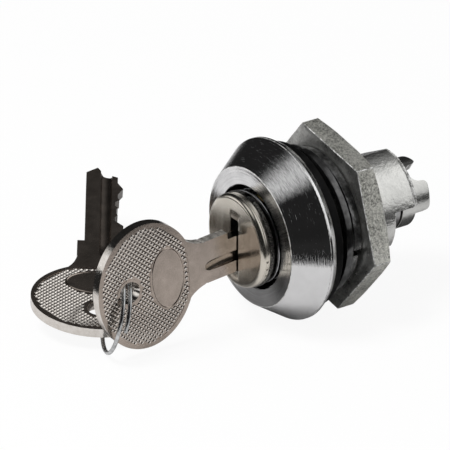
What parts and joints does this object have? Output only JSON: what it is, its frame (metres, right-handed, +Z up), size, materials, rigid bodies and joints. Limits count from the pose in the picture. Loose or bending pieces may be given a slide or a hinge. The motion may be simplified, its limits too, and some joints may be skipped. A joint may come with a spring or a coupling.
{
  "type": "push-in cam lock with keys",
  "caption": "Push-in cam lock with a dished bezel, threaded flat-sided barrel, gasket, washers, hex nut, slotted driver and oval-bow keys on a wire ring.",
  "frame": {"origin": "centre of the flange's back face, on the lock axis, in the plane of the panel's front face", "axes": "+Y along the lock axis to the tail, +Z up, keyhole faces -Y"},
  "size_m": [0.0624, 0.0667, 0.032],
  "materials": {
    "bright_chrome": "mirror plated",
    "black_rubber": "matte",
    "black_gloss": "gloss black plated",
    "black_steel": "dark plated",
    "sand_cast_zinc": "grainy cast",
    "spring_steel": "drawn wire",
    "rough_cast": "rough cast",
    "satin_zinc": "satin",
    "nickel_cap": "polished nickel",
    "bare_steel": "machined",
    "wafer_brass": "stamped",
    "key_nickel": "nickel plated",
    "ring_wire": "drawn wire"
  },
  "bodies": {
    "housing": {"housing_shell": "bright_chrome", "panel_gasket": "black_rubber", "flat_washer": "black_gloss", "lock_washer": "black_steel", "hex_nut": "sand_cast_zinc", "return_spring": "spring_steel"},
    "carrier": {"thrust_ring": "rough_cast"},
    "plug": {"plug_core": "satin_zinc", "plug_cap": "nickel_cap", "locking_dog": "bare_steel", "dog_spring": "spring_steel", "stop_cam": "bare_steel", "driver": "satin_zinc", "retaining_ring": "spring_steel", "wafer_1": "wafer_brass", "wafer_2": "wafer_brass", "wafer_3": "wafer_brass", "wafer_4": "wafer_brass", "wafer_5": "wafer_brass", "wafer_6": "wafer_brass", "wafer_spring_1": "spring_steel", "wafer_spring_2": "spring_steel", "wafer_spring_3": "spring_steel", "wafer_spring_4": "spring_steel", "wafer_spring_5": "spring_steel", "wafer_spring_6": "spring_steel"},
    "key": {"key": "key_nickel"},
    "ring": {"key_ring": "ring_wire"},
    "spare": {"spare_key": "key_nickel"}
  },
  "joints": [
    {"name": "push_in", "type": "slide", "parent": "housing", "child": "carrier", "axis": [0, 1, 0], "range_m": [0, 0.0031], "stiffness_N_per_m": 1500, "springref_m": -0.003, "deforming": ["return_spring"]},
    {"name": "key_turn", "type": "hinge", "parent": "carrier", "child": "plug", "pos_m": [0, 0, 0], "axis": [0, -1, 0], "range_deg": [0, 90]},
    {"name": "key_pull", "type": "slide", "parent": "plug", "child": "key", "axis": [0, -0.9957, -0.0924], "range_m": [0, 0.024]},
    {"name": "ring_swing", "type": "hinge", "parent": "key", "child": "ring", "pos_m": [0, -0.03201, -0.00326], "axis": [1, 0, 0], "range_deg": [-60, 6]},
    {"name": "spare_swing", "type": "hinge", "parent": "ring", "child": "spare", "pos_m": [-0.01052, -0.031, -0.01185], "axis": [0.1515, -0.0349, 0.9878], "range_deg": [-20, 70]}
  ]
}
